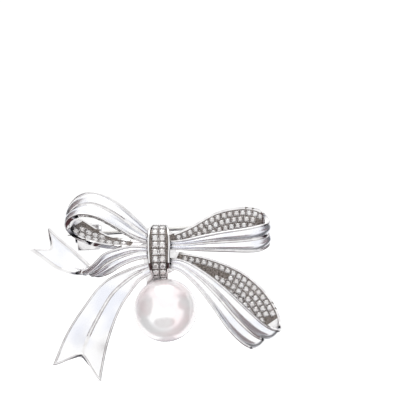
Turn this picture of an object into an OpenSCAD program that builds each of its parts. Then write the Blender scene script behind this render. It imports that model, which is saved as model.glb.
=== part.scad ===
/* [Bow] */
// Width of the bow, from the short tail's tip to the lower loop's bend
bow_w = 49.4; // [36:0.1:64]
// Height of the bow, from the upper left loop to the long tail's tip
bow_h = 38; // [28:0.1:50]
// Wall of the fluted ribbons
ribbon_t = 0.9; // [0.7:0.05:1.1]
// Width of the raised rim along a ribbon's edges
rim_w = 0.45; // [0.3:0.05:0.6]
// Height of the raised rim
rim_h = 0.18; // [0.1:0.02:0.25]
// Rise of a ribbon's two lobes
lobe_h = 0.42; // [0.2:0.02:0.55]
// Rise of the long tail's two lobes
tail_lobe_h = 0.16; // [0.1:0.02:0.4]
// Width of the channel between the lobes
channel_w = 0.7; // [0.4:0.05:0.9]
// Depth of the channel between the lobes
channel_d = 0.2; // [0.1:0.02:0.3]
// Wall of the stone-set plates
plate_t = 0.9; // [0.8:0.05:1.1]

/* [Knot] */
// Width of the knot band at its waist
knot_w = 4.5; // [4:0.1:6]
// Height of the knot band
knot_h = 10.6; // [9.6:0.1:13]
// Wall of the knot band
knot_t = 0.8; // [0.6:0.05:1]
// Width of the polished plate behind the knot
back_plate_w = 6.6; // [5.6:0.1:8]
// Height of the plate behind the knot
back_plate_h = 8.6; // [7:0.1:10]
// Thickness of the plate behind the knot
back_plate_t = 1.1; // [0.9:0.1:1.6]

/* [Stones] */
// Girdle diameter of the stones in the loops
stone_d = 1.1; // [0.9:0.02:1.3]
// Girdle diameter of the larger stones in the upper left loop
left_stone_d = 1.3; // [1:0.02:1.5]
// Pitch of the stones along a row
stone_pitch = 1.28; // [1.1:0.02:1.6]
// Girdle diameter of the stones in the knot
knot_stone_d = 1.28; // [1:0.02:1.4]
// Gap between the stones in the knot
knot_gap = 0.12; // [0.12:0.01:0.3]
// Gap between a stone and its seat
seat_gap = 0.02; // [0.01:0.01:0.04]
// Least metal between a stone and its plate's edge
seat_wall = 0.2; // [0.15:0.01:0.3]

/* [Pearl] */
// Diameter of the pearl
pearl_d = 12.6; // [10:0.1:15.5]
// Wall of the cup behind the pearl
cup_t = 0.6; // [0.5:0.05:0.9]
// Diameter of the cup's rim
cup_d = 7.4; // [6:0.1:9]
// Glue film between pearl and cup, and round the peg
glue_gap = 0.04; // [0.03:0.01:0.08]
// Diameter of the peg in the pearl
peg_d = 0.9; // [0.7:0.1:1.2]
// Depth of the peg in the pearl
peg_l = 4; // [3:0.1:5]
// Width of the strap that carries the cup
strap_w = 2.7; // [2.2:0.1:3.2]
// Thickness of the strap
strap_t = 0.9; // [0.7:0.05:1.2]

/* [Pin] */
// Diameter of the pin stem
pin_d = 0.8; // [0.7:0.02:1]
// Height of the pin above the knot's middle
pin_rise = 4.4; // [4:0.1:5.4]
// Distance of the pin behind the bow's middle plane
pin_depth = 5.7; // [5.4:0.1:7]
// Length of the plain stretch of the stem
stem_l = 19; // [15:0.1:20]
// Length of the tapered point
point_l = 8; // [7:0.1:10]
// Diameter of the hinge rivet
rivet_d = 0.8; // [0.7:0.05:1]
// Running clearance round the hinge rivet and the catch rotor
run_gap = 0.05; // [0.03:0.01:0.08]
// Height of the pin knuckle
knuckle_h = 1.5; // [1.3:0.1:1.8]
// Side gap between the knuckle and the bracket
side_gap = 0.1; // [0.05:0.01:0.15]

/* [Catch] */
// Outer diameter of the catch housing
housing_d = 3.8; // [3.6:0.1:4.4]
// Length of the catch housing
housing_l = 4.4; // [3.6:0.1:5]
// Outer diameter of the catch rotor's barrel
rotor_d = 2.4; // [2.2:0.1:2.6]
// Bore of the catch rotor
rotor_bore = 1.2; // [1.1:0.05:1.3]
// Width of the slot that the pin passes
slot_w = 1; // [0.96:0.02:1.1]

/* [Hidden] */

// The outlines below are drawn for a bow of this width and height
drawn_w = 49.4;
drawn_h = 38;
kx = bow_w / drawn_w;
kz = bow_h / drawn_h;

// Sides of a round
$fn = 48;

// A band is a list of stations, each the two edges of its outer face, from the knot outwards.
// x runs to the right, y to the back and z up, from the middle of the knot.
core_x = 1.5;
root_x = core_x - 0.3;

upper_left = [
    [[-root_x, -0.6, 3.6], [-root_x, -1.1, 1.5]],
    [[-4.3, -0.9, 7.2], [-4.9, -1.9, 3]],
    [[-8.3, -1, 10.9], [-8.6, -2.6, 5.5]],
    [[-12.6, -0.5, 12.9], [-12.2, -2.9, 7.7]],
    [[-16, 0.8, 12], [-15.4, -2.6, 8.4]],
    [[-17.9, 2.2, 9.6], [-17.6, -1.9, 7.8]],
    [[-17.7, 3.2, 7.8], [-18.5, -1, 6.4]],
    [[-15.6, 3.7, 6.9], [-17.8, -0.4, 4.7]],
    [[-13.4, 3.7, 5.4], [-15.6, 0, 3]],
    [[-11, 3.3, 3.6], [-12.2, 0.3, 1.7]],
    [[-7.5, 2.5, 2.4], [-8, 0.5, 0.9]],
    [[-4.2, 1.8, 1.9], [-4.2, 0.6, 0.6]],
    [[-root_x, 1.3, 1.6], [-root_x, 0.6, 0.4]]];

upper_right = [
    [[root_x, -0.9, 0.5], [root_x, -1, 2.1]],
    [[4.5, -1.5, 0.1], [4.5, -1.7, 2.2]],
    [[8.1, -2, -0.3], [8.1, -2.4, 2.8]],
    [[12.6, -2.2, -0.7], [12.6, -2.9, 3.4]],
    [[17, -1.9, -1.1], [17.4, -2.7, 3.8]],
    [[20, -1.2, -1.1], [20.6, -1.8, 4.3]],
    [[21.9, 0.2, -0.2], [22.2, -0.3, 4.7]],
    [[21.8, 1.5, 0.9], [21.9, 1, 5.9]],
    [[20, 2.1, 1.8], [20.3, 1.9, 7.4]],
    [[16, 2.3, 2], [16.6, 2.4, 8]],
    [[11.5, 2.2, 1.7], [11.6, 2.4, 7.2]],
    [[6.4, 1.8, 1.6], [6.4, 2, 4.7]],
    [[root_x, 1.3, 1.3], [root_x, 1.4, 2.9]]];

lower_right = [
    [[root_x, -0.9, -3.3], [root_x, -1.1, -1.2]],
    [[3.9, -1.6, -4.2], [4.8, -1.9, -1.8]],
    [[6.8, -2.1, -7.2], [9, -2.6, -4.5]],
    [[9.5, -2.2, -11.2], [13, -2.9, -8.1]],
    [[12.5, -2, -16.1], [16.7, -2.8, -12.1]],
    [[15, -1.7, -19], [20.4, -2.4, -15.8]],
    [[16.7, -1.1, -20.2], [22.6, -1.6, -17]],
    [[17.4, 0.3, -20.4], [23.5, 0, -16.9]],
    [[17.5, 1.6, -18.9], [23.5, 1.4, -15.2]],
    [[16.6, 2, -15.6], [22.6, 2.1, -12.4]],
    [[14.2, 2, -11], [20.2, 2.4, -8.6]],
    [[10.6, 1.9, -7], [15.8, 2.4, -4.7]],
    [[6.4, 1.6, -3.4], [9, 1.9, -1.6]],
    [[root_x, 1, -1.2], [root_x, 1.1, 0.3]]];

short_tail = [
    [[-root_x, -1.6, 1.1], [-root_x, -1.4, -1.1]],
    [[-5, -2, 1.7], [-4.6, -1.8, -1.4]],
    [[-8.2, -2.1, 1.3], [-7.6, -2, -2.4]],
    [[-11.2, -1.9, 0.4], [-9.7, -1.7, -3.6]],
    [[-13.4, -1.5, -1.6], [-11.4, -0.9, -4.2]],
    [[-15.4, -0.9, -3.1], [-12.9, 0.2, -4.2]],
    [[-16.6, -0.3, -3.5], [-13.8, 1.1, -2.9]],
    [[-18.4, -0.3, -3.2], [-14.8, 1.4, -1.3]],
    [[-21, -0.3, -2.1], [-17.1, 1.4, 1.2]],
    [[-23.2, -0.4, -0.3], [-19.8, 1.2, 3.7]],
    [[-25.8, -0.7, 1.9], [-22, 0.9, 6.1]]];

long_tail = [
    [[-root_x, -0.3, -1.8], [-root_x, -0.3, -3.9]],
    [[-5.2, -0.3, -2.5], [-4.2, -0.3, -5.6]],
    [[-9, -0.2, -3.9], [-6.2, -0.4, -7.8]],
    [[-12.1, -0.3, -5.7], [-8.1, -0.6, -10.3]],
    [[-15.2, -0.4, -9.2], [-9.8, -0.7, -13.6]],
    [[-18.1, -0.1, -12.9], [-11.2, -0.4, -17.2]],
    [[-20.3, 0.3, -16.4], [-12.1, 0.1, -20.2]],
    [[-22.7, 0.8, -21.4], [-13.3, 0.6, -25.1]]];

// Where each loop's fluted front ends and its stone-set back begins, as a share of the band
left_turn = 6.7 / 12;
right_turn = 7.3 / 12;
lower_turn = 8.3 / 13;

function unit(v) = v / norm(v);
function mix(a, b, t) = a + (b - a) * t;

// A smooth curve through the points p, at t from 0 to 1
function through(p, t) =
    let (n = len(p) - 1, x = t * n, i = min(floor(x), n - 1), f = x - i)
    let (b = p[i], c = p[i + 1])
    let (a = i > 0 ? p[i - 1] : 2 * b - c, d = i < n - 1 ? p[i + 2] : 2 * c - b)
    b + 0.5 * f * (c - a + f * (2 * a - 5 * b + 4 * c - d + f * (3 * b - a - 3 * c + d)));

// A band's outer face without its flutes: t along it, u across it
function edge(band, side) = [for (s = band) s[side]];
function face(band, t, u) = mix(through(edge(band, 0), t), through(edge(band, 1), t), u);
function width(band, t) = norm(face(band, t, 1) - face(band, t, 0));
function along(band, t) = face(band, min(t + 0.004, 1), 0.5) - face(band, max(t - 0.004, 0), 0.5);
function outward(band, t) = unit(cross(along(band, t), face(band, t, 1) - face(band, t, 0)));

// Stretches a drawn band to the bow's size, but leaves its root in the knot
function sized(band) = [for (s = band) [for (p = s)
    [abs(p[0]) <= root_x ? p[0] : mix(root_x, abs(p[0]), 1) * sign(p[0]) * kx, p[1], p[2] * kz]]];

// Cross-sections are lists of [share of the width, rise], outer face then inner face.
// A fluted ribbon has a rim at each edge and two lobes with a channel between them.
function lobe(u0, u1, h) = [for (i = [1 : 5]) [mix(u0, u1, i / 6), h * sin(30 * i)]];
function fluted(w, lobe_rise, channel, inner_lobe = 0) =
    let (r = min(rim_w / w, 0.16), c = min(channel_w / w, 0.16) / 2)
    let (lip = 0.3 * channel, t = -ribbon_t, field = -ribbon_t + rim_h / 2)
    concat(
        [[0, 0], [r * 0.25, rim_h], [r * 0.8, rim_h], [r, 0]],
        lobe(r, 0.5 - c, lobe_rise),
        [[0.5 - c, lip], [0.5 - c / 2, -channel], [0.5 + c / 2, -channel], [0.5 + c, lip]],
        lobe(0.5 + c, 1 - r, lobe_rise),
        [[1 - r, 0], [1 - r * 0.8, rim_h], [1 - r * 0.25, rim_h], [1, 0]],
        [[1, t], [1 - r, t], [1 - r * 1.2, field], [0.75, field - inner_lobe], [0.5, field + inner_lobe / 2],
         [0.25, field - inner_lobe], [r * 1.2, field], [r, t], [0, t]]);

// Cross-section of a plate: plain back, and a field between two rims on the inner face
function plate(w) =
    let (r = min(rim_w / w, 0.2), f = rim_h - plate_t)
    [[0, 0], [0.5, 0.12], [1, 0], [1, -plate_t], [1 - r, -plate_t], [1 - r, f], [0.5, f], [r, f], [r, -plate_t],
     [0, -plate_t]];

// A forked end is an ogee: how far the ribbon's middle stops short of its tips
function forked(t, u, fork) = let (v = 1 - abs(2 * u - 1)) t * (1 - fork * v * mix(1, v * (3 - 2 * v), ogee));
ogee = 0.6;

// The channel starts clear of the knot and, on a tail, ends before the fork
function fade(t, from, to) = max(0, min(1, (t - from) / 0.06, (to - t) / 0.06));

// Skins rings of points, each ring in the same order, into one closed solid. Each end is a fan
// of triangles round the point halfway between two points of its ring.
module skin(rings, mid) {
    n = len(rings) - 1;
    m = len(rings[0]);
    sides = [for (i = [0 : n - 1]) for (j = [0 : m - 1])
        [i * m + j, i * m + (j + 1) % m, (i + 1) * m + (j + 1) % m, (i + 1) * m + j]];
    ends = [for (r = [rings[0], rings[n]]) mix(r[mid[0]], r[mid[1]], 0.5)];
    centre = (n + 1) * m;
    first = [for (j = [0 : m - 1]) [centre, (j + 1) % m, j]];
    last = [for (j = [0 : m - 1]) [centre + 1, n * m + j, n * m + (j + 1) % m]];
    polyhedron([each [for (r = rings) each r], each ends], concat(sides, first, last));
}

// A fluted ribbon along a band from t0 to t1, in n rings
module ribbon(band, t0, t1, n, lobes = lobe_h) skin(
    [for (i = [0 : n])
        let (t = mix(t0, t1, i / n))
        [for (q = fluted(width(band, t), lobes * min(1, 0.4 + 3 * t, 0.2 + 10 * (t1 - t)), channel_d * fade(t, 0.1, t1)))
            face(band, t, q[0]) + outward(band, t) * q[1]]], [10, 26]);

// A tail's rings: n evenly spaced, then four that carry its rim across the forked end. Each is a
// place along the tail and, on the rim's top, the height that its outer face is raised to.
fork_share = 0.1;
tail_fade = 2.5;
inner_lobe_h = 0.3;
function tail_rings(n, end) = concat([for (i = [0 : n]) [(1 - end) * i / n, -9]],
    [[1 - 0.8 * end, rim_h], [1 - 0.25 * end, rim_h], [1, -9]]);
module tail(band, n, end, lobes, channel_end, fold = 9) skin(
    [for (r = tail_rings(n, end))
        let (t = r[0], flat = t == 1 ? 0 : 1, rise = flat * lobes * min(1, 0.4 + 3 * t, (1 - t) * tail_fade))
        let (inner = max(0, min(1, (t - fold) / 0.1)) * inner_lobe_h)
        [for (q = fluted(width(band, t), rise, channel_d * fade(t, 0.1, channel_end), flat * inner))
            let (s = forked(t, q[0], fork_share), on_face = q[1] > -ribbon_t / 3)
            face(band, s, q[0]) + outward(band, s) * (on_face ? max(q[1] * flat, r[1]) : q[1])]], [10, 26]);

left_loop = sized(upper_left);
right_loop = sized(upper_right);
lower_loop = sized(lower_right);

module ribbon_upper_left() color("gainsboro") placed() ribbon(left_loop, 0, left_turn, 24);
module ribbon_upper_right() color("gainsboro") placed() ribbon(right_loop, 0, right_turn, 24);
module ribbon_lower_right() color("gainsboro") placed() ribbon(lower_loop, 0, lower_turn, 27);
module tail_left() color("gainsboro") placed() tail(sized(short_tail), 32, 0.016, lobe_h, 9, 0.58);
module tail_lower_left() color("gainsboro") placed() tail(sized(long_tail), 24, 0.014, tail_lobe_h, 0.84);

// Stones in rows on a plate's inner face. Each row keeps its distance from the plate's outer edge,
// its stones stand a pitch apart along it, and it has no stone where the plate is too narrow.
samples = 40;
stone_gap = 0.07;
first_seat = 0.02;
last_seat = 0.97;
function stretch(t0, t1) = [for (i = [0 : samples]) mix(t0, t1, i / samples)];
function lengths(points, i = 0, sum = 0) = i == samples ? [[sum, 1]]
    : concat([[sum, i / samples]], lengths(points, i + 1, sum + norm(points[i + 1] - points[i])));
function slant(band, t) = norm(cross(unit(along(band, t)), unit(face(band, t, 1) - face(band, t, 0))));
function row_in(row, pitch) = rim_w + (row + 0.55) * pitch;
function row_point(band, t, row, pitch) = face(band, t, 1 - row_in(row, pitch) / slant(band, t) / width(band, t));
function row_seats(band, t0, row, d, pitch) =
    let (table = lengths([for (t = stretch(t0, last_seat)) row_point(band, t, row, pitch)]))
    [for (x = [pitch * (row % 2 == 0 ? 0.55 : 1.05) : pitch : table[samples][0]])
        let (t = mix(t0, last_seat, lookup(x, table)))
        if (width(band, t) * slant(band, t) - row_in(row, pitch) > d / 2 + seat_wall)
            [row_point(band, t, row, pitch) - outward(band, t) * (plate_t - rim_h), -outward(band, t)]];
function nearest(p, list) = min([99, for (q = list) norm(q[0] - p[0])]);
function apart(list, d, i = 0, kept = []) = i == len(list) ? kept
    : apart(list, d, i + 1, nearest(list[i], kept) > d + stone_gap ? concat(kept, [list[i]]) : kept);
function seats(band, t0, rows, d, pitch) =
    apart([for (row = [0 : rows - 1]) each row_seats(band, t0 + first_seat, row, d, pitch)], d);
left_seats = seats(left_loop, left_turn, 2, left_stone_d, left_stone_d + stone_pitch - stone_d);
right_seats = seats(right_loop, right_turn, 3, stone_d, stone_pitch);
lower_seats = seats(lower_loop, lower_turn, 5, stone_d, stone_pitch);

// Stands a shape that points up at a place, so that it points along a direction
module stand(at, dir) translate(at) rotate([0, acos(dir[2]), atan2(dir[1], dir[0])]) children();

// A brilliant: crown above the girdle and pavilion below it
crown_h = 0.16;
table_w = 0.56;
pavilion_h = 0.42;
culet_w = 0.06;
module stone(d) {
    cylinder(h = d * crown_h, d1 = d, d2 = d * table_w);
    translate([0, 0, -d * pavilion_h]) cylinder(h = d * pavilion_h, d1 = d * culet_w, d2 = d);
}

// A seat fits the pavilion with a gap round it and is opened behind by a smaller round hole
open_share = 0.62;
module seat_cut(d, t) {
    open_r = d * open_share / 2 + seat_gap;
    depth = d * pavilion_h * (1 - open_share) / (1 - culet_w);
    rotate_extrude() polygon([[0, -2 * t], [open_r, -2 * t], [open_r, -depth],
                              [d / 2 + seat_gap, 0], [d / 2 + seat_gap, t / 2], [0, t / 2]]);
}

// A stone-set plate along a band from t0 to the knot, in n rings
module set_plate(band, t0, n, seat_list, d) difference() {
    skin([for (i = [0 : n])
        let (t = mix(t0, 1, i / n))
        [for (q = plate(width(band, t))) face(band, t, q[0]) + outward(band, t) * q[1]]], [1, 6]);
    for (s = seat_list) stand(s[0], s[1]) seat_cut(d, plate_t);
}
module pave_upper_left() color("silver") placed() set_plate(left_loop, left_turn, 28, left_seats, left_stone_d);
module pave_upper_right() color("silver") placed() set_plate(right_loop, right_turn, 26, right_seats, stone_d);
module pave_lower_right() color("silver") placed() set_plate(lower_loop, lower_turn, 28, lower_seats, stone_d);

module stones(seat_list, d) for (s = seat_list) stand(s[0], s[1]) stone(d);
module stones_upper_left() color("aliceblue") placed() stones(left_seats, left_stone_d);
module stones_upper_right() color("aliceblue") placed() stones(right_seats, stone_d);
module stones_lower_right() color("aliceblue") placed() stones(lower_seats, stone_d);

// The knot band's outer face, from behind its top over the front to behind its bottom
kw = knot_w / 4.5;
kh = knot_h / 10.6;
knot = [for (s = [
    [[-0.8, 1.9, 4.5], [1.6, 1.9, 4.4]],
    [[-1.3, 0.5, 5.3], [1.9, 0.5, 5.1]],
    [[-2, -1.5, 4.4], [2.2, -1.5, 4.2]],
    [[-2.3, -2.7, 2.2], [2.3, -2.7, 2]],
    [[-2.4, -3, -0.3], [2.1, -3, -0.5]],
    [[-2.3, -2.6, -2.7], [1.9, -2.6, -2.9]],
    [[-1.9, -1.6, -4.4], [1.5, -1.6, -4.5]],
    [[-1.6, 0.1, -5.3], [1.4, 0.1, -5.3]],
    [[-1.5, 1.5, -4.8], [1.2, 1.5, -4.8]]]) [for (p = s) [p[0] * kw, p[1], p[2] * kh]]];

// The band's cross-section: a rim at each side and a low field that the stones stand in
function collar(w) =
    let (r = 0.5 / w)
    [[0, 0], [r * 0.25, rim_h], [r * 0.8, rim_h], [r, -rim_h / 2], [0.5, 0.1], [1 - r, -rim_h / 2],
     [1 - r * 0.8, rim_h], [1 - r * 0.25, rim_h], [1, 0], [1, -knot_t], [0.5, -knot_t], [0, -knot_t]];
knot_first = 0.1;
knot_last = 0.805;
knot_table = lengths([for (t = stretch(knot_first, knot_last)) face(knot, t, 0.5)]);
knot_run = knot_table[samples][0];
knot_rows = floor(knot_run / (knot_stone_d + knot_gap)) + 1;
knot_seats = apart([for (i = [0 : knot_rows - 1]) for (side = [-1, 1])
    let (t = mix(knot_first, knot_last, lookup(knot_run * i / (knot_rows - 1), knot_table)))
    let (u = 0.5 + side * (knot_stone_d + knot_gap) / 2 / width(knot, t))
    [face(knot, t, u) + outward(knot, t) * 0.02, outward(knot, t)]], knot_stone_d);
module knot_band() color("silver") placed() difference() {
    skin([for (i = [0 : 24])
        let (t = i / 24)
        [for (q = collar(width(knot, t))) face(knot, t, q[0]) + outward(knot, t) * q[1]]], [4, 10]);
    for (s = knot_seats) stand(s[0], s[1]) seat_cut(knot_stone_d, knot_t);
}
module stones_knot() color("aliceblue") placed() stones(knot_seats, knot_stone_d);

// The block inside the knot that the ribbons' roots are soldered to
core_front = -1.2;
core_back = 1.5;
core_top = 4.1;
core_bottom = -4.1;
module knot_core() color("silver") placed() translate([-core_x, core_front, core_bottom * kh])
    cube([2 * core_x, core_back - core_front, (core_top - core_bottom) * kh]);

// A plate with round corners and edges, flat on the core's back
module knot_back_plate() color("silver") placed() hull()
    for (x = [-1, 1]) for (z = [-1, 1])
        translate([x * (back_plate_w / 2 - plate_corner), core_back, z * (back_plate_h / 2 - plate_corner)])
        rotate([-90, 0, 0]) {
            cylinder(h = back_plate_t * 0.5, r = plate_corner, $fn = 24);
            cylinder(h = back_plate_t, r = plate_corner - 0.5, $fn = 24);
        }
plate_corner = 1.8;

// The pearl hangs just clear of the knot's bottom. The cup is turned a little to the left.
pearl_r = pearl_d / 2;
pearl_y = -1.5;
pearl_at = [0.5, pearl_y, -5.35 * kh - pearl_r];
cup_turn = 11;
cup_in = pearl_r + glue_gap;
cup_out = cup_in + cup_t;
module on_cup() translate(pearl_at) rotate([0, 0, cup_turn]) rotate([-90, 0, 0]) children();
module pearl() color("seashell") placed() difference() {
    translate(pearl_at) sphere(pearl_r, $fn = 96);
    on_cup() translate([0, 0, pearl_r - peg_l - glue_gap]) cylinder(h = peg_l + 1, d = peg_d + 2 * glue_gap);
}
module pearl_cup() color("silver") placed() on_cup() difference() {
    sphere(cup_out, $fn = 96);
    sphere(cup_in, $fn = 96);
    translate([0, 0, sqrt(pow(cup_in, 2) - pow(cup_d / 2, 2)) - cup_out]) cube(2 * cup_out, center = true);
}
module pearl_peg() color("silver") placed() on_cup() translate([0, 0, pearl_r - peg_l]) cylinder(h = peg_l + glue_gap, d = peg_d);

// The strap leaves the back plate's foot, passes behind the pearl and lies on the cup
function on_pearl(x, z, lift) =
    pearl_at + [x, sqrt(pow(cup_out + lift, 2) - x * x - z * z), z];
strap_x = -2.8;
strap_tip = -1.2;
plate_back = core_back + back_plate_t;
strap_top = -back_plate_h / 2 + 2.6;
function strap_side(side) =
    let (x = strap_x + side * strap_w / 2, bend = on_pearl(x, pearl_r * 0.33, strap_t))
    [[x + 1.3, plate_back + strap_t, strap_top],
     [x + 1.2, plate_back + strap_t + 0.1, mix(strap_top, bend[2], 0.36)],
     [x + 0.9, mix(plate_back + strap_t, bend[1], 0.42), mix(strap_top, bend[2], 0.7)],
     bend,
     on_pearl(x, pearl_r * 0.12, strap_t),
     on_pearl(x, strap_tip, strap_t)];
strap = [for (i = [0 : 5]) [strap_side(1)[i], strap_side(-1)[i]]];
bar = [[0, -0.25], [0.15, 0], [0.5, 0.12], [0.85, 0], [1, -0.25], [1, -strap_t], [0.5, -strap_t], [0, -strap_t]];
module pearl_strap() color("silver") placed() skin([for (i = [0 : 20])
    let (t = i / 20)
    [for (q = bar) face(strap, t, q[0]) + outward(strap, t) * q[1]]], [2, 6]);

// A round-headed rivet through the strap's end and the cup's wall
rivet_head_d = 1.7;
rivet_at = on_pearl(strap_x, strap_tip + 0.9, 0);
rivet_dir = unit(rivet_at - pearl_at);
module strap_rivet() color("silver") placed() stand(rivet_at, rivet_dir) {
    translate([0, 0, -cup_t + glue_gap]) cylinder(h = cup_t + strap_t, d = 0.7, $fn = 32);
    translate([0, 0, strap_t]) difference() {
        sphere(d = rivet_head_d);
        translate([0, 0, -rivet_head_d]) cube(2 * rivet_head_d, center = true);
    }
}

// The pin lies along x behind the bow. It turns on a rivet behind the upper right plate
// and its point rests in the catch behind the upper left plate.
hinge_x = 15.8 * kx;
catch_x = -14.2 * kx;
pin_z = pin_rise * kz;
knuckle_l = 4.6;
knuckle_r = 0.8;
collar_l = 2.6;
collar_d = 1.36;
stem_in = 1;
braze_gap = 0.02;
knuckle_end = hinge_x - knuckle_l;
stem_from = knuckle_end - collar_l;
stem_to = stem_from - stem_l;

// The row's origin is on the stem's axis, at the middle of its plain stretch
module placed() translate([stem_l / 2 - stem_from, -pin_depth, -pin_z]) children();

// Points a shape from x towards the tip, and stands one on the rivet's axis at height z
module along_pin(x) translate([x, pin_depth, pin_z]) rotate([0, -90, 0]) children();
module on_rivet(z) translate([hinge_x, pin_depth, pin_z + z]) children();
module pin_stem() color("silver") placed() {
    along_pin(knuckle_end + stem_in) cylinder(h = stem_in + collar_l + stem_l, d = pin_d);
    along_pin(knuckle_end) cylinder(h = collar_l, d1 = collar_d, d2 = pin_d);
    along_pin(stem_to) cylinder(h = point_l, d1 = pin_d, d2 = pin_d * 0.3);
}
module pin_knuckle() color("silver") placed() difference() {
    on_rivet(-knuckle_h / 2) {
        cylinder(h = knuckle_h, r = knuckle_r);
        translate([-knuckle_l, -knuckle_r, 0]) cube([knuckle_l, 2 * knuckle_r, knuckle_h]);
    }
    on_rivet(-knuckle_h) cylinder(h = 2 * knuckle_h, d = rivet_d + 2 * run_gap);
    along_pin(knuckle_end + stem_in) cylinder(h = stem_in + 1, d = pin_d + 2 * braze_gap);
}

// The bracket: a foot on the plate's back, a pierced block under the knuckle and an ear over it
ear_h = 0.65;
block_h = 2.6;
bracket_end = 1;
ear_l = 0.9;
window = [2.4, 1.3];
foot_y = face(right_loop, 0.79, 0.4)[1];
ear_y = pin_depth + knuckle_r - 0.1;
foot_t = pin_depth - knuckle_r - side_gap - foot_y;
gap_low = -knuckle_h / 2 - side_gap;
gap_high = knuckle_h / 2 + side_gap;
module hinge_bracket() color("silver") placed() difference() {
    union() {
        translate([knuckle_end, foot_y, pin_z + gap_low - block_h])
            cube([knuckle_l + bracket_end, foot_t, gap_high + ear_h - gap_low + block_h]);
        translate([knuckle_end, foot_y, pin_z + gap_low - block_h])
            cube([knuckle_l + bracket_end, ear_y - foot_y, block_h]);
        translate([hinge_x - ear_l, foot_y, pin_z + gap_high]) cube([ear_l + bracket_end, ear_y - foot_y, ear_h]);
    }
    on_rivet(gap_low - block_h - 1) cylinder(h = block_h + knuckle_h + ear_h + 3, d = rivet_d + 2 * braze_gap);
    translate([knuckle_end + 1, foot_y + foot_t, pin_z + gap_low - (block_h + window[1]) / 2])
        cube([window[0], ear_y, window[1]]);
}
rivet_head = [1.2, 0.25];
module hinge_rivet() color("silver") placed() {
    on_rivet(gap_low - block_h) cylinder(h = block_h - gap_low + gap_high + ear_h, d = rivet_d);
    on_rivet(gap_low - block_h - rivet_head[1]) cylinder(h = rivet_head[1], d = rivet_head[0]);
    on_rivet(gap_high + ear_h) cylinder(h = rivet_head[1], d = rivet_head[0]);
}

// The catch: a base behind the loop, a housing open to the back, and a slotted rotor that turns in it
mouth = 64;
tab_turn = 45;
tab = [1.75, 0.7, 1.6];
flange_d = 3.4;
flange_t = 0.4;
end_gap = 0.06;
base_h = 5;
base_drop = 3.2;
base_sink = 0.7;
rear_edge = through(edge(left_loop, 0), 7.5 / 12)[1];
module at_catch(x) translate([catch_x + x, pin_depth, pin_z]) rotate([90, 0, 90]) children();
module ring(outer, inner) difference() {
    circle(d = outer);
    circle(d = inner);
}
module slotted(outer, inner) difference() {
    ring(outer, inner);
    translate([0, -slot_w / 2]) square([outer, slot_w]);
}
module catch_base() color("silver") placed() difference() {
    translate([catch_x - housing_l / 2, rear_edge - base_sink, pin_z - base_drop])
        cube([housing_l, pin_depth - 1.2 - rear_edge + base_sink, base_h]);
    at_catch(-housing_l) cylinder(h = 2 * housing_l, d = housing_d);
}
module catch_housing() color("silver") placed() at_catch(-housing_l / 2) linear_extrude(housing_l) difference() {
    ring(housing_d, rotor_d + 2 * run_gap);
    polygon([[0, 0], 4 * [cos(mouth), -sin(mouth)], [4, -4], [4, 4], 4 * [cos(mouth), sin(mouth)]]);
}
module catch_rotor() color("silver") placed() {
    at_catch(-housing_l / 2 - end_gap - flange_t) {
        linear_extrude(housing_l + 2 * (end_gap + flange_t)) slotted(rotor_d, rotor_bore);
        linear_extrude(flange_t) slotted(flange_d, rotor_bore);
    }
    at_catch(housing_l / 2 + end_gap) linear_extrude(flange_t) slotted(flange_d, rotor_bore);
    at_catch(-tab[2] / 2) rotate(tab_turn) translate([(rotor_d + rotor_bore) / 4, -tab[1] / 2, 0]) cube(tab);
}

ribbon_upper_left();
ribbon_upper_right();
ribbon_lower_right();
tail_left();
tail_lower_left();
pave_upper_left();
pave_upper_right();
pave_lower_right();
stones_upper_left();
stones_upper_right();
stones_lower_right();
stones_knot();
knot_band();
knot_core();
knot_back_plate();
pearl();
pearl_cup();
pearl_peg();
pearl_strap();
strap_rivet();
hinge_bracket();
hinge_rivet();
pin_knuckle();
pin_stem();
catch_base();
catch_housing();
catch_rotor();
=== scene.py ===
import math
import random

import bmesh
import bpy
import numpy as np
from mathutils import Matrix, Vector


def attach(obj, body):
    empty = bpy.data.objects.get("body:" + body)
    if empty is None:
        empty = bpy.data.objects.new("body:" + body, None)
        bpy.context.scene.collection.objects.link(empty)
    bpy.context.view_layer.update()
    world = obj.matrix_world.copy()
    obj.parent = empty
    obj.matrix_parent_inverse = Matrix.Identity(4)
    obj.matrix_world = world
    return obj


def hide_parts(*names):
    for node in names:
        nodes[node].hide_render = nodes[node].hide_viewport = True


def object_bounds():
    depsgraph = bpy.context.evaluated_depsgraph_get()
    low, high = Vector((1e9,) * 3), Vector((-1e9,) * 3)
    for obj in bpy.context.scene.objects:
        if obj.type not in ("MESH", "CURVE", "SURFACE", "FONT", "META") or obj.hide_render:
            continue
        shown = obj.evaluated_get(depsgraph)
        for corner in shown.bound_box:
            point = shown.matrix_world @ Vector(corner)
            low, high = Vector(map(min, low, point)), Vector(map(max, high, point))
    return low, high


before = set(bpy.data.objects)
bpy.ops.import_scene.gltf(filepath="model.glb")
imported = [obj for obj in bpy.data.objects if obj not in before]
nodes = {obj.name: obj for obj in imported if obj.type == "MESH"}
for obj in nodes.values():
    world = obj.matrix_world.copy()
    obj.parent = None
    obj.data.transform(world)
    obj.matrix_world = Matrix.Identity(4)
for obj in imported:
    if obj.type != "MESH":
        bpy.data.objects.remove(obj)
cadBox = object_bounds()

mm = 0.001
mergeGap = 0.001 * mm
scene = bpy.context.scene


# small helpers

def pickOnly(*objects):
    bpy.ops.object.select_all(action="DESELECT")
    for o in objects:
        o.select_set(True)
    bpy.context.view_layer.objects.active = objects[0]


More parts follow.
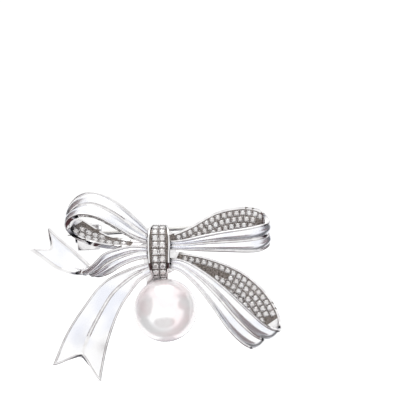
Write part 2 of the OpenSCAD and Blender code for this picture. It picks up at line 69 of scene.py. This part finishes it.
def copyOf(node, name):
    # a loose copy of a CAD node, merged so that it can be refined
    piece = bpy.data.objects.new(name, nodes[node].data.copy())
    scene.collection.objects.link(piece)
    piece.data.materials.clear()
    pickOnly(piece)
    bpy.ops.object.mode_set(mode="EDIT")
    bpy.ops.mesh.select_all(action="SELECT")
    bpy.ops.mesh.customdata_custom_splitnormals_clear()
    bpy.ops.mesh.remove_doubles(threshold=mergeGap)
    bpy.ops.object.mode_set(mode="OBJECT")
    return piece


def applyAll(piece):
    pickOnly(piece)
    for m in list(piece.modifiers):
        bpy.ops.object.modifier_apply(modifier=m.name)


def smooth(piece, degrees=30):
    pickOnly(piece)
    bpy.ops.object.shade_smooth_by_angle(angle=math.radians(degrees))


def place(piece, body, slotName, *replaced):
    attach(piece, body)
    if replaced:
        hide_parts(*replaced)


# materials

def linear(hexColour, alpha=1):
    c = [int(hexColour[i:i + 2], 16) / 255 for i in (1, 3, 5)]
    return [x / 12.92 if x <= 0.04045 else ((x + 0.055) / 1.055) ** 2.4 for x in c] + [alpha]


def node(tree, kind, settings=None, links=None):
    # adds one node; settings go to its properties or sockets, links are (socket, from node, from socket)
    n = tree.nodes.new(kind)
    for key, value in (settings or {}).items():
        if isinstance(key, str) and hasattr(n, key):
            setattr(n, key, value)
        else:
            n.inputs[key].default_value = value
    for socket, source, out in links or []:
        tree.links.new(source.outputs[out], n.inputs[socket])
    return n


def ramp(tree, source, out, stops):
    r = node(tree, "ShaderNodeValToRGB", links=[("Fac", source, out)])
    while len(r.color_ramp.elements) < len(stops):
        r.color_ramp.elements.new(0.5)
    for e, (at, colour) in zip(r.color_ramp.elements, stops):
        e.position = at
        e.color = linear(colour)
    return r


def newMaterial(name, surface):
    m = bpy.data.materials.new(name)
    m.use_nodes = True
    t = m.node_tree
    t.nodes.clear()
    shader = node(t, "ShaderNodeBsdfPrincipled", surface)
    node(t, "ShaderNodeOutputMaterial", links=[("Surface", shader, "BSDF")])
    return m, t, shader


# satin rhodium plate: sandblasted fine, then plated, so it glows softly and goes lavender in shade
satin = {"high": "#F9F9FA", "highAt": 0.55, "low": "#E8EAF2", "lowAt": 0.35, "tintMm": 7.0,
         "gritMm": 0.09, "grit": 0.1, "gritDeepMm": 0.01, "smoothest": 0.18, "roughest": 0.3,
         "surface": {"Metallic": 0.82, "Coat Weight": 0.35, "Coat Roughness": 0.12}}
satinRhodium, t, shader = newMaterial("satinRhodiumPlate", satin["surface"])
coords = node(t, "ShaderNodeTexCoord")
tint = node(t, "ShaderNodeTexNoise", {"Scale": 1 / (satin["tintMm"] * mm), "Detail": 2.0},
            [("Vector", coords, "Object")])
colour = ramp(t, tint, "Fac", [(satin["lowAt"], satin["low"]), (satin["highAt"], satin["high"])])
grit = node(t, "ShaderNodeTexNoise", {"Scale": 1 / (satin["gritMm"] * mm), "Detail": 1.0},
            [("Vector", coords, "Object")])
bump = node(t, "ShaderNodeBump", {"Strength": satin["grit"], "Distance": satin["gritDeepMm"] * mm},
            [("Height", grit, "Fac")])
rough = node(t, "ShaderNodeMapRange", {"To Min": satin["smoothest"], "To Max": satin["roughest"]},
             [("Value", grit, "Fac")])
t.links.new(colour.outputs["Color"], shader.inputs["Base Color"])
t.links.new(bump.outputs["Normal"], shader.inputs["Normal"])
t.links.new(rough.outputs["Result"], shader.inputs["Roughness"])

# polished rhodium plate: mirror bright with faint polishing swirls and a slightly warm grey depth
polish = {"high": "#E9E8E8", "highAt": 0.6, "low": "#D6D4D5", "lowAt": 0.3, "swirlMm": 1.2,
          "swirl": 0.08, "swirlDeepMm": 0.02, "smoothest": 0.03, "roughest": 0.1,
          "surface": {"Metallic": 1.0}}
polishedRhodium, t, shader = newMaterial("polishedRhodiumPlate", polish["surface"])
coords = node(t, "ShaderNodeTexCoord")
swirl = node(t, "ShaderNodeTexNoise", {"Scale": 1 / (polish["swirlMm"] * mm), "Detail": 3.0},
             [("Vector", coords, "Object")])
colour = ramp(t, swirl, "Fac", [(polish["lowAt"], polish["low"]), (polish["highAt"], polish["high"])])
bump = node(t, "ShaderNodeBump", {"Strength": polish["swirl"], "Distance": polish["swirlDeepMm"] * mm},
            [("Height", swirl, "Fac")])
rough = node(t, "ShaderNodeMapRange", {"To Min": polish["smoothest"], "To Max": polish["roughest"]},
             [("Value", swirl, "Fac")])
t.links.new(colour.outputs["Color"], shader.inputs["Base Color"])
t.links.new(bump.outputs["Normal"], shader.inputs["Normal"])
t.links.new(rough.outputs["Result"], shader.inputs["Roughness"])

# painted shade between and under the stones: a dull, brownish metal with a random grain, standing in for the
# shade that falls in the setting's recesses
cast = {"high": "#8E8681", "highAt": 0.65, "low": "#4A4441", "lowAt": 0.35, "grainMm": 0.25,
        "grain": 0.4, "grainDeepMm": 0.03, "surface": {"Metallic": 1.0, "Roughness": 0.28}}
castRhodium, t, shader = newMaterial("castRhodiumGround", cast["surface"])
coords = node(t, "ShaderNodeTexCoord")
grain = node(t, "ShaderNodeTexNoise", {"Scale": 1 / (cast["grainMm"] * mm), "Detail": 3.0},
             [("Vector", coords, "Object")])
colour = ramp(t, grain, "Fac", [(cast["lowAt"], cast["low"]), (cast["highAt"], cast["high"])])
bump = node(t, "ShaderNodeBump", {"Strength": cast["grain"], "Distance": cast["grainDeepMm"] * mm},
            [("Height", grain, "Fac")])
t.links.new(colour.outputs["Color"], shader.inputs["Base Color"])
t.links.new(bump.outputs["Normal"], shader.inputs["Normal"])

# cubic zirconia, cut and polished: clear, with far stronger sparkle than glass
zircon = {"high": "#FBFAFA", "highAt": 0.6, "low": "#EFEBE9", "lowAt": 0.4, "hazeMm": 1.6,
          "surface": {"Metallic": 0.35, "Transmission Weight": 0.6, "IOR": 2.16, "Roughness": 0.01}}
cubicZirconia, t, shader = newMaterial("cubicZirconiaCut", zircon["surface"])
coords = node(t, "ShaderNodeTexCoord")
haze = node(t, "ShaderNodeTexNoise", {"Scale": 1 / (zircon["hazeMm"] * mm)},
            [("Vector", coords, "Object")])
colour = ramp(t, haze, "Fac", [(zircon["lowAt"], zircon["low"]), (zircon["highAt"], zircon["high"])])
t.links.new(colour.outputs["Color"], shader.inputs["Base Color"])

# saltwater pearl, white nacre: a milky body under a glossy skin with a rose overtone
nacre = {"body": "#FAF9F9", "bodyAt": 0.6, "rose": "#F9ECED", "roseAt": 0.38, "cloudMm": 5.0,
         "growthMm": 0.5, "growth": 0.03, "growthDeepMm": 0.02, "smoothDegrees": 40,
         "surface": {"Metallic": 0.28, "Roughness": 0.2, "Coat Weight": 1.0, "Coat Roughness": 0.13,
                     "Coat IOR": 1.7}}
pearlNacre, t, shader = newMaterial("pearlNacreWhite", nacre["surface"])
coords = node(t, "ShaderNodeTexCoord")
cloud = node(t, "ShaderNodeTexNoise", {"Scale": 1 / (nacre["cloudMm"] * mm), "Detail": 2.0},
             [("Vector", coords, "Object")])
colour = ramp(t, cloud, "Fac", [(nacre["roseAt"], nacre["rose"]), (nacre["bodyAt"], nacre["body"])])
growth = node(t, "ShaderNodeTexNoise", {"Scale": 1 / (nacre["growthMm"] * mm), "Detail": 2.0},
              [("Vector", coords, "Object")])
bump = node(t, "ShaderNodeBump", {"Strength": nacre["growth"], "Distance": nacre["growthDeepMm"] * mm},
            [("Height", growth, "Fac")])
t.links.new(colour.outputs["Color"], shader.inputs["Base Color"])
t.links.new(bump.outputs["Normal"], shader.inputs["Normal"])

# stainless spring wire, drawn: bright, with fine lines along it
wire = {"high": "#D9D8D6", "highAt": 0.7, "low": "#B3B1AE", "lowAt": 0.3, "lineMm": 0.12,
        "stretch": (0.02, 1, 1), "surface": {"Metallic": 1.0, "Roughness": 0.14}}
springSteel, t, shader = newMaterial("springSteelDrawnWire", wire["surface"])
coords = node(t, "ShaderNodeTexCoord")
drawn = node(t, "ShaderNodeMapping", {"Scale": wire["stretch"]}, [("Vector", coords, "Object")])
lines = node(t, "ShaderNodeTexNoise", {"Scale": 1 / (wire["lineMm"] * mm), "Detail": 2.0},
             [("Vector", drawn, "Vector")])
colour = ramp(t, lines, "Fac", [(wire["lowAt"], wire["low"]), (wire["highAt"], wire["high"])])
t.links.new(colour.outputs["Color"], shader.inputs["Base Color"])
print("materials made")


# the fluted ribbons

def sweepRings(bm, sides, start):
    # numbers a swept copy's rings from one end's fan to the other: {vertex: (ring, place in section)}
    fans = [v for v in bm.verts if len(v.link_edges) == sides]
    fans.sort(key=lambda v: -sum(e.calc_length() for e in v.link_edges))
    level = {}
    front = [e.other_vert(fans[0]) for e in fans[0].link_edges]
    depth = 0
    while front:
        for v in front:
            level[v] = depth
        front = list({e.other_vert(v) for v in front for e in v.link_edges} - set(level) - set(fans))
        depth += 1
    near = lambda v, lv: [e.other_vert(v) for e in v.link_edges if level.get(e.other_vert(v)) == lv]
    reach = lambda v, lv: sum((v.co - w.co).length for w in near(v, lv))
    rings = []
    for lv in range(depth):
        # the place with the longest edges beside it, then the neighbour that the last ring's second leads to
        beside = near(rings[-1][0], lv) if lv else [v for v in level if not level[v]]
        first = max(beside, key=lambda v: reach(v, lv))
        around = near(first, lv)
        ring = [first, [w for w in around if w in near(rings[-1][1], lv)][0] if lv else around[0]]
        while len(ring) < sides:
            ring.append([w for w in near(ring[-1], lv) if w != ring[-2]][0])
        rings.append(ring)
    # the longest-edged place of the section is numbered `start`
    return {v: (i, (start + k) % sides) for i, ring in enumerate(rings) for k, v in enumerate(ring)}


def refineSweep(piece, look, satinPlaces, rimRings):
    # squares up a swept copy, gives its strips their finishes, and rounds it all but its creased edges;
    # the first rimRings strips, across a forked end, stay polished
    bm = bmesh.new()
    bm.from_mesh(piece.data)
    at = sweepRings(bm, look["sides"], look["middle"])
    slanted = [e for e in bm.edges if all(v in at for v in e.verts)
               and at[e.verts[0]][0] != at[e.verts[1]][0] and at[e.verts[0]][1] != at[e.verts[1]][1]]
    bmesh.ops.dissolve_edges(bm, edges=slanted, use_verts=False)
    crease = bm.edges.layers.float.new("crease_edge")
    last = max(i for i, k in at.values())
    for e in bm.edges:
        if not all(v in at for v in e.verts):
            continue
        (i, k), (j, m) = at[e.verts[0]], at[e.verts[1]]
        if k == m:
            e[crease] = look["creases"].get(k, 0)
        elif i in (0, last):
            e[crease] = look["endCrease"]
        elif i <= rimRings:
            e[crease] = look["rimCrease"]
    for f in bm.faces:
        ks = sorted({at[v][1] for v in f.verts if v in at})
        across = [at[v][0] for v in f.verts if v in at]
        f.material_index = 0
        if len(ks) == 2 and len(f.verts) == 4 and max(across) > rimRings:
            strip = ks[0] if ks[1] - ks[0] == 1 else ks[1]
            f.material_index = int(strip in satinPlaces)
    bm.normal_update()
    bm.to_mesh(piece.data)
    bm.free()
    mod = piece.modifiers.new("rounding", "SUBSURF")
    mod.levels = mod.render_levels = look["levels"]
    applyAll(piece)


# places in the section: 0-3 rim, 4-8 lobe, 9-12 channel, 13-17 lobe, 18-21 rim, 22-30 inner face
ribbonLook = {
    "nodes": ["ribbon_upper_left", "ribbon_upper_right", "ribbon_lower_right",
              "tail_left", "tail_lower_left"],
    "sides": 31,
    "middle": 26,
    "levels": 2,
    "smoothDegrees": 50,
    "endCrease": 0.9,
    "rimCrease": 0.5,
    "creases": {0: 0.75, 1: 0.35, 2: 0.35, 3: 0.6, 9: 0.5, 10: 0.4, 11: 0.4, 12: 0.5, 18: 0.6, 19: 0.35,
                20: 0.35, 21: 0.75, 22: 0.75, 23: 0.5, 24: 0.4, 28: 0.4, 29: 0.5, 30: 0.75},
    "satinPlaces": [3, 4, 5, 6, 7, 8, 12, 13, 14, 15, 16, 17],
    "innerSatin": {"tail_left": [24, 25, 26, 27]},
    "rimRings": {"tail_left": 3, "tail_lower_left": 3},
}
for name in ribbonLook["nodes"]:
    ribbon = copyOf(name, name + "_satin")
    ribbon.data.materials.append(polishedRhodium)
    ribbon.data.materials.append(satinRhodium)
    satinPlaces = ribbonLook["satinPlaces"] + ribbonLook["innerSatin"].get(name, [])
    refineSweep(ribbon, ribbonLook, satinPlaces, ribbonLook["rimRings"].get(name, 0))
    smooth(ribbon, ribbonLook["smoothDegrees"])
    place(ribbon, "bow", "satin_rhodium", name)
print("ribbons refined")


# stones

# parts of the stone's own width; the points between the table and the girdle, and those between the
# girdle and the culet, each have their distance from the axis and their share of the height
brilliant = {"sides": 8, "crown": 0.16, "table": 0.56, "pavilion": 0.42, "girdle": 0.03,
             "starOut": 0.78, "starUp": 0.62, "lowerOut": 0.45, "lowerDown": 0.52, "nearGirdle": 0.98}


def stoneSeats(name):
    # each loose stone of a CAD node: its middle at the girdle, its axis out of the table, and its diameter
    piece = copyOf(name, "islands")
    bm = bmesh.new()
    bm.from_mesh(piece.data)
    left = set(bm.verts)
    found = []
    while left:
        island, queue = set(), [left.pop()]
        while queue:
            v = queue.pop()
            island.add(v)
            for e in v.link_edges:
                w = e.other_vert(v)
                if w in left:
                    left.discard(w)
                    queue.append(w)
        co = np.array([v.co for v in island], float)
        middle = (co.min(0) + co.max(0)) / 2
        # the axis is the direction that the rings of points share: the middle of the table to the culet
        spread = np.linalg.svd(co - co.mean(0))[2]
        lengths = [np.ptp((co - co.mean(0)) @ a) for a in spread]
        axis = Vector(spread[int(np.argmin(lengths))])
        along = (co - co.mean(0)) @ np.array(axis)
        radial = np.linalg.norm((co - co.mean(0)) - np.outer(along, axis), axis=1)
        wide = 2 * radial.max()
        girdleAt = along[radial > brilliant["nearGirdle"] * radial.max()].mean()
        if along.max() - girdleAt > girdleAt - along.min():
            axis, girdleAt = -axis, -girdleAt
        found.append((Vector(co.mean(0)) + axis * girdleAt, axis.normalized(), wide))
    bm.free()
    bpy.data.objects.remove(piece)
    return sorted(found, key=lambda s: tuple(round(c / mm, 3) for c in s[0]))


def cutStone():
    # one brilliant, one millimetre wide: a girdle ring turned up to the table and down to the culet
    n = brilliant["sides"]
    bpy.ops.object.select_all(action="DESELECT")
    bpy.ops.mesh.primitive_circle_add(vertices=2 * n, radius=0.5 * mm, fill_type="NOTHING")
    stone = bpy.context.object
    stone.name = "brilliantCut"
    bm = bmesh.new()
    bm.from_mesh(stone.data)
    bm.verts.ensure_lookup_table()
    ring = list(bm.verts)
    crown, pavilion = brilliant["crown"] * mm, brilliant["pavilion"] * mm
    table, half = brilliant["table"] * mm / 2, brilliant["girdle"] * mm / 2
    top = [bm.verts.new(v.co + Vector((0, 0, half))) for v in ring]
    low = [bm.verts.new(v.co - Vector((0, 0, half))) for v in ring]
    for v in ring:
        bm.verts.remove(v)
    angles = [math.atan2(v.co.x, v.co.y) for v in top]
    point = lambda a, r, z: bm.verts.new((r * math.sin(a), r * math.cos(a), z))
    tableRing = [point(angles[2 * k], table, crown) for k in range(n)]
    starOut, starUp = brilliant["starOut"] * mm / 2, brilliant["starUp"] * crown
    starRing = [point(angles[2 * k + 1], starOut, starUp) for k in range(n)]
    culet = bm.verts.new((0, 0, -pavilion))
    lowerOut, lowerDown = brilliant["lowerOut"] * mm / 2, brilliant["lowerDown"] * pavilion
    lowRing = [point(angles[2 * k + 1], lowerOut, -lowerDown) for k in range(n)]
    bm.faces.new(tableRing)
    for k in range(n):
        nk, pk = (k + 1) % n, (k - 1) % n
        a, b, c = 2 * k, 2 * k + 1, (2 * k + 2) % (2 * n)
        bm.faces.new((tableRing[k], starRing[k], tableRing[nk]))  # star facet
        bm.faces.new((tableRing[k], starRing[pk], top[a], starRing[k]))  # bezel facet
        bm.faces.new((starRing[k], top[a], top[b]))
        bm.faces.new((starRing[k], top[b], top[c]))
        for p, q in ((a, b), (b, c)):
            bm.faces.new((top[p], low[p], low[q], top[q]))
        bm.faces.new((lowRing[k], low[b], low[a]))
        bm.faces.new((lowRing[k], low[c], low[b]))
        bm.faces.new((culet, lowRing[k], low[a], lowRing[pk]))
    bmesh.ops.recalc_face_normals(bm, faces=bm.faces)
    bm.to_mesh(stone.data)
    bm.free()
    return stone


def upright(axis, spin):
    return axis.to_track_quat("Z", "Y").to_matrix().to_4x4() @ Matrix.Rotation(spin, 4, "Z")


def joined(pieces, name):
    pickOnly(*pieces)
    if len(pieces) > 1:
        bpy.ops.object.join()
    bpy.context.object.name = name
    return bpy.context.object


def setOut(master, places, name):
    # copies of a small master at each (middle, axis, size, spin), joined as one piece, placed in its mesh
    made = []
    for middle, axis, size, spin in places:
        o = bpy.data.objects.new(name, master.data.copy())
        scene.collection.objects.link(o)
        o.data.transform(Matrix.Translation(middle) @ upright(axis, spin) @ Matrix.Scale(size, 4))
        made.append(o)
    return joined(made, name)


stoneMaster = cutStone()
random.seed(7)
stoneNodes = {"stones_upper_left": "pave_upper_left", "stones_upper_right": "pave_upper_right",
              "stones_lower_right": "pave_lower_right", "stones_knot": "knot_band"}
seats = {name: stoneSeats(name) for name in stoneNodes}
for name, found in seats.items():
    spots = [(c, a, d / mm, random.uniform(0, math.tau)) for c, a, d in found]
    group = setOut(stoneMaster, spots, name + "_cut")
    group.data.materials.clear()
    group.data.materials.append(cubicZirconia)
    place(group, "bow", "clear_stone", name)
bpy.data.objects.remove(stoneMaster)
print("stones cut:", {k: len(v) for k, v in seats.items()})

# bead grains that hold the stones
beadGrain = {"diameter": 0.24 * mm, "stand": 0.05 * mm, "reach": 0.58, "merge": 0.3 * mm,
             "count": 4, "firstDegrees": 45, "sides": 8, "rings": 5}
bpy.ops.object.select_all(action="DESELECT")
bpy.ops.mesh.primitive_uv_sphere_add(segments=beadGrain["sides"], ring_count=beadGrain["rings"],
                                     radius=0.5 * mm)
grainMaster = bpy.context.object
bpy.ops.object.shade_smooth()
for name, found in seats.items():
    spots = []
    for c, a, d in found:
        nearest = min((s[0] for s in found if s[0] != c), key=lambda p: (p - c).length)
        row = (nearest - c) - a * (nearest - c).dot(a)
        row.normalize()
        side = a.cross(row)
        for k in range(beadGrain["count"]):
            turn = math.radians(beadGrain["firstDegrees"] + 360 / beadGrain["count"] * k)
            out = row * math.cos(turn) + side * math.sin(turn)
            spots.append((c + out * d * beadGrain["reach"] + a * beadGrain["stand"], a))
    kept = []
    for p, a in spots:
        same = [q for q in kept if (q[0] - p).length < beadGrain["merge"]]
        if same:
            same[0][0] = (same[0][0] + p) / 2
        else:
            kept.append([p, a])
    spots = [(p, a, beadGrain["diameter"] / mm, 0) for p, a in kept]
    beads = setOut(grainMaster, spots, name.replace("stones", "grains"))
    beads.data.materials.clear()
    beads.data.materials.append(polishedRhodium)
    place(beads, "bow", "polished_rhodium")
bpy.data.objects.remove(grainMaster)
print("grains raised")


# stone-set plates: painted shade (dull, brownish metal) on the field between the stones and in the seats
# under them, bright elsewhere the painted-shade field is allowed to rise away from a stone where its plate
# curls, which the band's doesn't
ground = {"facing": 0.2, "above": 0.06 * mm, "near": 0.9 * mm, "below": 0.5 * mm, "reach": 1.6 * mm,
          "bend": {"knot_band": 0}, "plateBend": 0.4, "seatWide": 0.53, "seatDeep": 0.6,
          "smoothDegrees": 32}
for stonesName, name in stoneNodes.items():
    plate = copyOf(name, name + "_set")
    plate.data.materials.append(polishedRhodium)
    plate.data.materials.append(castRhodium)
    found = seats[stonesName]
    for f in plate.data.polygons:
        c, a, d = min(found, key=lambda s: (s[0] - f.center).length)
        level = (f.center - c).dot(a)
        away = (f.center - c).length
        bend = ground["bend"].get(name, ground["plateBend"])
        rise = ground["above"] + max(0, away - ground["near"]) * bend
        onField = f.normal.dot(a) > ground["facing"] and -ground["below"] < level < rise
        nearAxis = (f.center - c - a * level).length < d * ground["seatWide"]
        inSeat = nearAxis and level > -ground["seatDeep"] * d
        # the recessed field near a stone and the seat under it take the painted shade
        if inSeat or (onField and away < ground["reach"]):
            f.material_index = 1
    smooth(plate, ground["smoothDegrees"])
    place(plate, "bow", "polished_rhodium", name)
print("plates finished")


# fittings, with softened edges: body, finish, slot and the softness in mm
fittingEdges = {"flatDegrees": 0.5, "bevelDegrees": 35, "segments": 2, "smoothDegrees": 40}
fittings = {
    "knot_core": ("bow", polishedRhodium, "polished_rhodium", 0.10),
    "knot_back_plate": ("bow", polishedRhodium, "polished_rhodium", 0.12),
    "pearl_cup": ("bow", polishedRhodium, "polished_rhodium", 0.08),
    "pearl_peg": ("bow", polishedRhodium, "polished_rhodium", 0.05),
    "pearl_strap": ("bow", polishedRhodium, "polished_rhodium", 0.08),
    "strap_rivet": ("bow", polishedRhodium, "polished_rhodium", 0.04),
    "hinge_bracket": ("bow", polishedRhodium, "polished_rhodium", 0.12),
    "hinge_rivet": ("bow", springSteel, "spring_steel", 0.05),
    "pin_knuckle": ("pin", polishedRhodium, "polished_rhodium", 0.10),
    "pin_stem": ("pin", springSteel, "spring_steel", 0.03),
    "catch_base": ("bow", polishedRhodium, "polished_rhodium", 0.12),
    "catch_housing": ("bow", polishedRhodium, "polished_rhodium", 0.08),
    "catch_rotor": ("rotor", polishedRhodium, "polished_rhodium", 0.06),
}
for name, (body, finish, slotName, softness) in fittings.items():
    piece = copyOf(name, name + "_finished")
    piece.data.materials.append(finish)
    bpy.ops.object.mode_set(mode="EDIT")
    bpy.ops.mesh.select_all(action="SELECT")
    bpy.ops.mesh.dissolve_limited(angle_limit=math.radians(fittingEdges["flatDegrees"]))
    bpy.ops.object.mode_set(mode="OBJECT")
    bevel = piece.modifiers.new("softEdges", "BEVEL")
    bevel.width = softness * mm
    bevel.segments = fittingEdges["segments"]
    bevel.limit_method = "ANGLE"
    bevel.angle_limit = math.radians(fittingEdges["bevelDegrees"])
    applyAll(piece)
    smooth(piece, fittingEdges["smoothDegrees"])
    place(piece, body, slotName, name)
print("fittings finished")

# the pearl
pearl = copyOf("pearl", "pearl_nacre")
pearl.data.materials.append(pearlNacre)
smooth(pearl, nacre["smoothDegrees"])
place(pearl, "bow", "pearl_nacre", "pearl")
print("pearl finished")

# floor, backdrop, light and camera
lowest = min(cadBox[0][2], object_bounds()[0][2])
white = (1, 1, 1, 1)
studio = {"floorSize": 4.0, "domeRadius": 2.0, "topPower": 0.75, "topSize": 0.5, "topAt": (0, -0.1, 0.6),
          "floor": {"Base Color": linear("#FBFBFB"), "Roughness": 0.9, "Specular IOR Level": 0.0,
                    "Emission Color": white, "Emission Strength": 0.22},
          "backdrop": {"Base Color": (0, 0, 0, 1), "Emission Color": white, "Emission Strength": 1.0}}
bpy.ops.object.select_all(action="DESELECT")
bpy.ops.mesh.primitive_plane_add(size=studio["floorSize"], location=(0, 0, lowest))
floor = bpy.context.object
floor.name = "floor"
floor.data.materials.append(newMaterial("paleFloor", studio["floor"])[0])
floor.visible_glossy = False

# a white dome that only the camera sees, so that the backdrop stays plain behind every side
bpy.ops.mesh.primitive_uv_sphere_add(segments=48, ring_count=24, radius=studio["domeRadius"])
dome = bpy.context.object
dome.name = "backdrop"
dome.data.materials.append(newMaterial("whiteBackdrop", studio["backdrop"])[0])
for ray in ("diffuse", "glossy", "transmission", "shadow", "volume_scatter"):
    setattr(dome, "visible_" + ray, False)

# rose-brown discs that only reflections see, facing the brooch: where each stands, its width and its height
flags = {"left": ((-0.27, -0.125, 0.06), 0.2, 0.32),
         "right": ((0.27, -0.11, 0.06), 0.2, 0.17),
         "below": ((-0.02, -0.17, -0.185), 0.34, 0.19)}
flagPaint = newMaterial("roseBrownFlag", {"Base Color": linear("#5E4044"), "Roughness": 1.0})[0]
for name, (at, wide, tall) in flags.items():
    at = Vector(at)
    facing = (-at).to_track_quat("Z", "Y").to_euler()
    bpy.ops.mesh.primitive_circle_add(vertices=40, radius=0.5, fill_type="NGON", location=at,
                                      rotation=facing)
    board = bpy.context.object
    board.name = "flag_" + name
    board.scale = (wide, tall, 1)
    board.data.materials.append(flagPaint)
    for ray in ("camera", "diffuse", "shadow", "transmission"):
        setattr(board, "visible_" + ray, False)

top = bpy.data.objects.new("topLight", bpy.data.lights.new("topLight", "AREA"))
top.data.size = studio["topSize"]
top.data.energy = studio["topPower"]
top.location = studio["topAt"]
scene.collection.objects.link(top)

def step(source, out, low, high):
    limits = {"interpolation_type": "SMOOTHSTEP", "From Min": low, "From Max": high}
    return node(t, "ShaderNodeMapRange", limits, [("Value", source, out)])


def joinedBy(operation, a, aOut, b, bOut):
    return node(t, "ShaderNodeMath", {"operation": operation}, [(0, a, aOut), (1, b, bOut)])


# the room: a white light tent, open in a ring round the brooch's sides, which draws dark lines on the rims
world = bpy.data.worlds.new("lightTent")
scene.world = world
world.use_nodes = True
t = world.node_tree
t.nodes.clear()
tent = {"frontFrom": -0.5, "frontTo": -0.14, "backFrom": 0.3, "backTo": 0.55, "backGrey": 0.32,
        "horizonFrom": 0.05, "horizonTo": 0.35, "stripFrom": 0.1, "stripTo": 0.24,
        "overheadFrom": 0.55, "overheadTo": 0.85, "gain": 1.12,
        "dark": "#08080C", "half": "#AEAEB6", "halfAt": 0.45, "front": "#FFFFFF"}
coords = node(t, "ShaderNodeTexCoord")
parts = node(t, "ShaderNodeSeparateXYZ", links=[("Vector", coords, "Generated")])
inFront = step(parts, "Y", tent["frontTo"], tent["frontFrom"])
behind = step(parts, "Y", tent["backFrom"], tent["backTo"])
above = step(parts, "Z", tent["horizonFrom"], tent["horizonTo"])
across = node(t, "ShaderNodeMath", {"operation": "ABSOLUTE"}, [(0, parts, "X")])
strips = step(across, 0, tent["stripFrom"], tent["stripTo"])
# behind the brooch a grey wall with a bright strip at each side and a bright top
bright = joinedBy("MAXIMUM", above, "Result", strips, "Result")
wall = node(t, "ShaderNodeMath", {"operation": "MAXIMUM", 1: tent["backGrey"]}, [(0, bright, 0)])
backWall = joinedBy("MULTIPLY", behind, "Result", wall, 0)
# the tent closes overhead, where a softbox hangs
overhead = step(parts, "Z", tent["overheadFrom"], tent["overheadTo"])
walls = joinedBy("MAXIMUM", inFront, "Result", backWall, 0)
lit = joinedBy("MAXIMUM", walls, 0, overhead, "Result")
light = ramp(t, lit, 0, [(0.0, tent["dark"]), (tent["halfAt"], tent["half"]), (1.0, tent["front"])])
background = node(t, "ShaderNodeBackground", {"Strength": tent["gain"]}, [("Color", light, "Color")])
node(t, "ShaderNodeOutputWorld", links=[("Surface", background, "Background")])

# the square view spans 81.8 mm at the knot, whose middle sits 9 mm left of its centre and 9.5 mm below it
lens = {"distance": 0.6, "span": 0.0818, "sensorMm": 36, "rollDegrees": 3.4,
        "knot": Vector((0.0009, -0.0057, -0.0044)), "right": -0.0090, "down": 0.0095}
camData = bpy.data.cameras.new("camera")
camera = bpy.data.objects.new("camera", camData)
scene.collection.objects.link(camera)
camData.sensor_width = lens["sensorMm"]
camData.lens = lens["sensorMm"] * lens["distance"] / lens["span"]
roll = Matrix.Rotation(math.radians(lens["rollDegrees"]), 4, "Y")
turned = roll @ Matrix.Rotation(math.radians(90), 4, "X")
acrossDir, upDir = turned.to_3x3() @ Vector((1, 0, 0)), turned.to_3x3() @ Vector((0, 1, 0))
aim = lens["knot"] - acrossDir * lens["right"] + upDir * lens["down"]
camera.matrix_world = Matrix.Translation(aim + Vector((0, -lens["distance"], 0))) @ turned
scene.camera = camera
scene.view_settings.view_transform = "Standard"

print("scene ready")
